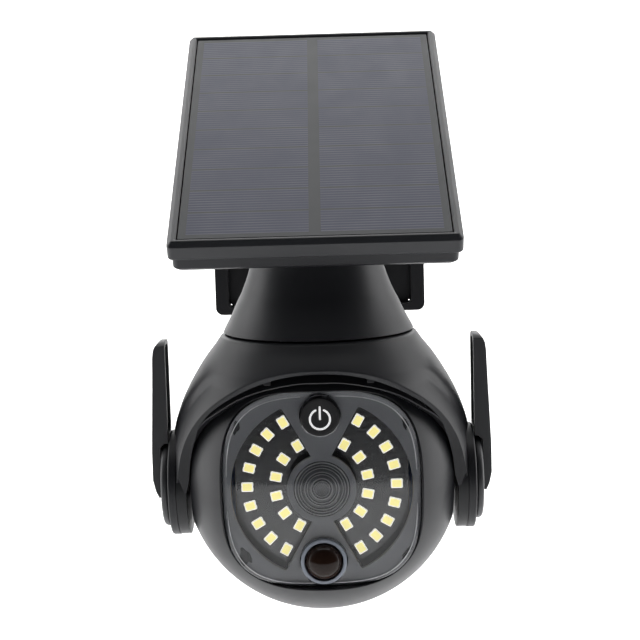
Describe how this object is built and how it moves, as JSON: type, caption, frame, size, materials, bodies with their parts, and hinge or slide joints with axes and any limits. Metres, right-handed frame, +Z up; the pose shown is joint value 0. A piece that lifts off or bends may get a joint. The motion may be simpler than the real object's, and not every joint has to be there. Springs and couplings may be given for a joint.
{
  "type": "solar motion lamp shaped like a security camera",
  "caption": "Wall-mounted solar motion lamp shaped like a pan-and-tilt camera: ball head with lamp arrays and sensor in a swivelling yoke, mock antennas, tilting solar panel on top",
  "frame": {"origin": "middle of the wall bracket's flat back face", "axes": "+Z up, +Y into the wall, the lamp's face looks along -Y, +X to the right of someone facing the lamp"},
  "size_m": [0.109, 0.1467, 0.1896],
  "materials": {
    "housing": "fine-grained near-black moulding",
    "black": "smooth black moulding",
    "clear": "clear moulding",
    "grey": "dark grey moulding",
    "board": "dark circuit board with white lamps",
    "cells": "blue-grey solar cells under resin",
    "rubber": "black rubber",
    "steel": "zinc-plated steel",
    "lens": "dark glossy dome",
    "ring": "bluish grey ring",
    "battery": "blue-sleeved cell"
  },
  "bodies": {
    "mount": {"wall_bracket": "housing", "neck_arm": "housing", "foot_screw_1": "steel", "foot_screw_2": "steel", "foot_screw_3": "steel", "foot_screw_4": "steel", "hinge_bolt": "steel", "hinge_nut": "steel", "swivel_washer": "rubber"},
    "panel": {"panel_tray": "housing", "panel_bezel": "housing", "laminate_pad": "rubber", "solar_laminate": "cells", "charge_board": "board", "tray_screw_1": "steel", "tray_screw_2": "steel", "tray_screw_3": "steel", "tray_screw_4": "steel"},
    "yoke": {"yoke_shell": "housing", "hood_liner": "black", "swivel_screw_1": "steel", "swivel_screw_2": "steel", "swivel_screw_3": "steel", "swivel_retainer": "black", "ear_plate_left": "black", "ear_plate_right": "black", "pivot_bolt_left": "steel", "pivot_bolt_right": "steel", "friction_washer_left": "rubber", "friction_washer_right": "rubber"},
    "head": {"ball_front": "housing", "ball_rear": "housing", "shell_seal": "rubber", "shell_screw_1": "steel", "shell_screw_2": "steel", "shell_screw_3": "steel", "shell_screw_4": "steel", "face_cover": "clear", "reflector_mask": "grey", "cover_gasket": "rubber", "led_board": "board", "board_screw_1": "steel", "board_screw_2": "steel", "board_screw_3": "steel", "board_screw_4": "steel", "mock_lens": "clear", "sensor_ring": "ring", "sensor_dome": "lens", "sensor_can": "steel", "button_switch": "black", "control_board": "board", "battery_cell": "battery", "battery_cradle": "black"},
    "antenna_left": {"antenna_hub_left": "housing", "antenna_blade_left": "housing"},
    "antenna_right": {"antenna_hub_right": "housing", "antenna_blade_right": "housing"},
    "power_button": {"power_button": "black"}
  },
  "joints": [
    {"name": "panel_tilt", "type": "hinge", "parent": "mount", "child": "panel", "pos_m": [0, -0.108, 0.0096], "axis": [1, 0, 0], "range_deg": [-32.4, 0]},
    {"name": "yoke_pan", "type": "hinge", "parent": "mount", "child": "yoke", "pos_m": [0, -0.11, -0.0214], "axis": [0, 0, 1], "range_deg": [-170, 170]},
    {"name": "head_tilt", "type": "hinge", "parent": "yoke", "child": "head", "pos_m": [0, -0.11, -0.067], "axis": [1, 0, 0], "range_deg": [-15, 75]},
    {"name": "antenna_left_turn", "type": "hinge", "parent": "yoke", "child": "antenna_left", "pos_m": [-0.0491, -0.11, -0.0703], "axis": [1, 0, 0], "range_deg": [-90, 90]},
    {"name": "antenna_right_turn", "type": "hinge", "parent": "yoke", "child": "antenna_right", "pos_m": [0.0491, -0.11, -0.0703], "axis": [1, 0, 0], "range_deg": [-90, 90]},
    {"name": "button_press", "type": "slide", "parent": "head", "child": "power_button", "axis": [0, 1, 0], "range_m": [0, 0.0006], "stiffness_N_per_m": 1500, "springref_m": -0.0002}
  ]
}
